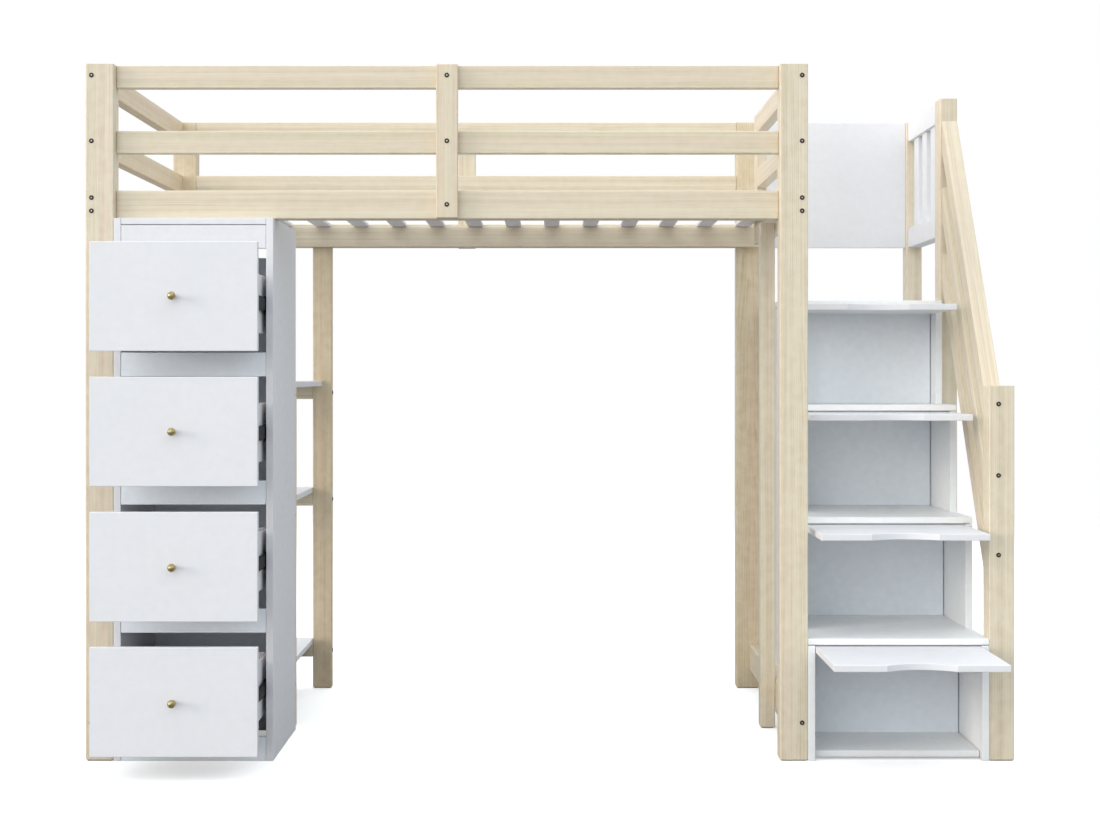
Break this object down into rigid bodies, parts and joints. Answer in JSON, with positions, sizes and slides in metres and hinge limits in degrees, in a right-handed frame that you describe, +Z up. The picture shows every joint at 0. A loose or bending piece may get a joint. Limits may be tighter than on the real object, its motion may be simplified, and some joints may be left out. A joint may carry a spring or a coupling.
{
  "type": "loft bed",
  "caption": "High pine loft bed with slatted deck and guard rails, a drawer cabinet and shelf bay below, and a storage staircase with flaps and a handrail.",
  "frame": {"origin": "under the middle of the bounding box, on the floor, with the drawers pulled out and the flaps up as in the picture", "axes": "+X along the bed from the drawer cabinet to the staircase, +Y from the front to the wall side, +Z up"},
  "size_m": [2.602, 1.377, 1.953],
  "materials": {
    "pine": "pale pine, clear satin lacquer",
    "white_panel": "white painted board, satin",
    "brass": "aged satin",
    "black_steel": "black coated steel"
  },
  "bodies": {
    "frame": {"slat_rack": "white_panel", "cabinet_carcass": "white_panel", "cabinet_back": "white_panel", "shelf_upper": "white_panel", "shelf_middle": "white_panel", "shelf_lower": "white_panel", "landing_case": "white_panel", "landing_side_guard": "white_panel", "landing_back_panel": "white_panel", "step_box_1": "white_panel", "step_box_2": "white_panel", "step_box_3": "white_panel", "step_box_4": "white_panel", "post_front_left": "pine", "post_front_right": "pine", "post_back_left": "pine", "post_back_right": "pine", "front_rail_top": "pine", "front_rail_middle": "pine", "front_rail_bottom": "pine", "front_stile": "pine", "back_guard": "pine", "left_end_rail_top": "pine", "left_end_rail_middle": "pine", "left_end_rail_bottom": "pine", "left_end_stretcher": "pine", "right_end_guard": "pine", "right_end_stretcher": "pine", "support_post": "pine", "shelf_frame": "pine", "newel_front": "pine", "newel_upper": "pine", "stair_back_post": "pine", "handrail_top": "pine", "handrail_middle": "pine", "handrail_bottom": "pine"},
    "drawer_1": {"drawer_1_front": "white_panel", "drawer_1_knob": "brass", "drawer_1_box": "white_panel"},
    "drawer_1_runners": {"drawer_1_runner_left": "black_steel", "drawer_1_runner_right": "black_steel"},
    "drawer_2": {"drawer_2_front": "white_panel", "drawer_2_knob": "brass", "drawer_2_box": "white_panel"},
    "drawer_2_runners": {"drawer_2_runner_left": "black_steel", "drawer_2_runner_right": "black_steel"},
    "drawer_3": {"drawer_3_front": "white_panel", "drawer_3_knob": "brass", "drawer_3_box": "white_panel"},
    "drawer_3_runners": {"drawer_3_runner_left": "black_steel", "drawer_3_runner_right": "black_steel"},
    "drawer_4": {"drawer_4_front": "white_panel", "drawer_4_knob": "brass", "drawer_4_box": "white_panel"},
    "drawer_4_runners": {"drawer_4_runner_left": "black_steel", "drawer_4_runner_right": "black_steel"},
    "flap_1": {"flap_1": "white_panel"},
    "flap_2": {"flap_2": "white_panel"},
    "flap_3": {"flap_3": "white_panel"},
    "flap_4": {"flap_4": "white_panel"}
  },
  "joints": [
    {"name": "drawer_1_slide", "type": "slide", "parent": "frame", "child": "drawer_1", "axis": [0, -1, 0], "range_m": [-0.218, 0.132]},
    {"name": "drawer_1_runner_slide", "type": "slide", "parent": "frame", "child": "drawer_1_runners", "axis": [0, -1, 0], "range_m": [-0.109, 0.066]},
    {"name": "drawer_2_slide", "type": "slide", "parent": "frame", "child": "drawer_2", "axis": [0, -1, 0], "range_m": [-0.218, 0.132]},
    {"name": "drawer_2_runner_slide", "type": "slide", "parent": "frame", "child": "drawer_2_runners", "axis": [0, -1, 0], "range_m": [-0.109, 0.066]},
    {"name": "drawer_3_slide", "type": "slide", "parent": "frame", "child": "drawer_3", "axis": [0, -1, 0], "range_m": [-0.218, 0.132]},
    {"name": "drawer_3_runner_slide", "type": "slide", "parent": "frame", "child": "drawer_3_runners", "axis": [0, -1, 0], "range_m": [-0.109, 0.066]},
    {"name": "drawer_4_slide", "type": "slide", "parent": "frame", "child": "drawer_4", "axis": [0, -1, 0], "range_m": [-0.218, 0.132]},
    {"name": "drawer_4_runner_slide", "type": "slide", "parent": "frame", "child": "drawer_4_runners", "axis": [0, -1, 0], "range_m": [-0.109, 0.066]},
    {"name": "flap_1_hinge", "type": "hinge", "parent": "frame", "child": "flap_1", "pos_m": [0.9765, -0.3925, 0.3115], "axis": [1, 0, 0], "range_deg": [0, 90]},
    {"name": "flap_2_hinge", "type": "hinge", "parent": "frame", "child": "flap_2", "pos_m": [0.9765, -0.2145, 0.6355], "axis": [1, 0, 0], "range_deg": [0, 90]},
    {"name": "flap_3_hinge", "type": "hinge", "parent": "frame", "child": "flap_3", "pos_m": [0.9765, -0.0365, 0.9595], "axis": [1, 0, 0], "range_deg": [0, 90]},
    {"name": "flap_4_hinge", "type": "hinge", "parent": "frame", "child": "flap_4", "pos_m": [0.9765, 0.1415, 1.2835], "axis": [1, 0, 0], "range_deg": [0, 90]}
  ],
  "couplings": [
    {"joint": "drawer_1_runner_slide", "follows": "drawer_1_slide", "ratio": 0.5},
    {"joint": "drawer_2_runner_slide", "follows": "drawer_2_slide", "ratio": 0.5},
    {"joint": "drawer_3_runner_slide", "follows": "drawer_3_slide", "ratio": 0.5},
    {"joint": "drawer_4_runner_slide", "follows": "drawer_4_slide", "ratio": 0.5}
  ]
}
